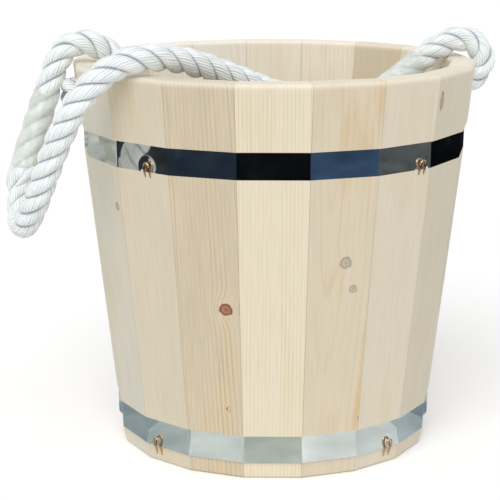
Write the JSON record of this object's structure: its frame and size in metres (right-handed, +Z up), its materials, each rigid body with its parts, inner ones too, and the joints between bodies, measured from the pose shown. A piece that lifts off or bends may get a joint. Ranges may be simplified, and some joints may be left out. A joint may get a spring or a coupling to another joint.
{
  "type": "wooden bucket",
  "caption": "Tapered bucket of flat wooden staves with two thin steel hoops and a thick laid rope as its handle, its slack hung over the rim.",
  "frame": {"origin": "middle of the base, on the surface the bucket stands on", "axes": "+Z up along the bucket's axis; the rope holes are on the X axis; the slack of the rope hangs outside on the -X side and -Y faces the camera, turned ten degrees"},
  "size_m": [0.3695, 0.2992, 0.3095],
  "materials": {
    "stave_wood": "pale softwood, planed and lightly oiled, satin",
    "bottom_wood": "pale softwood, planed, matt",
    "hoop_steel": "thin stainless strip, bright rolled and polished",
    "rivet_steel": "stainless rivets, satin heads",
    "staple_wire": "coppered flat wire, bright",
    "rope_fibre": "white synthetic fibre, laid in three strands, silky",
    "sleeve_film": "thin clear film wrapped tightly, glossy"
  },
  "bodies": {
    "root": {"stave_01": "stave_wood", "stave_02": "stave_wood", "stave_03": "stave_wood", "stave_04": "stave_wood", "stave_05": "stave_wood", "stave_06": "stave_wood", "stave_07": "stave_wood", "stave_08": "stave_wood", "stave_09": "stave_wood", "stave_10": "stave_wood", "stave_11": "stave_wood", "stave_12": "stave_wood", "stave_13": "stave_wood", "stave_14": "stave_wood", "stave_15": "stave_wood", "stave_16": "stave_wood", "stave_17": "stave_wood", "stave_18": "stave_wood", "bottom_board_1": "bottom_wood", "bottom_board_2": "bottom_wood", "bottom_board_3": "bottom_wood", "bottom_board_4": "bottom_wood", "bottom_splines": "bottom_wood", "upper_hoop": "hoop_steel", "lower_hoop": "hoop_steel", "upper_hoop_rivets": "rivet_steel", "lower_hoop_rivets": "rivet_steel", "upper_hoop_staples": "staple_wire", "lower_hoop_staples": "staple_wire", "rope_handle": "rope_fibre", "splice_sleeves": "sleeve_film"}
  },
  "joints": []
}
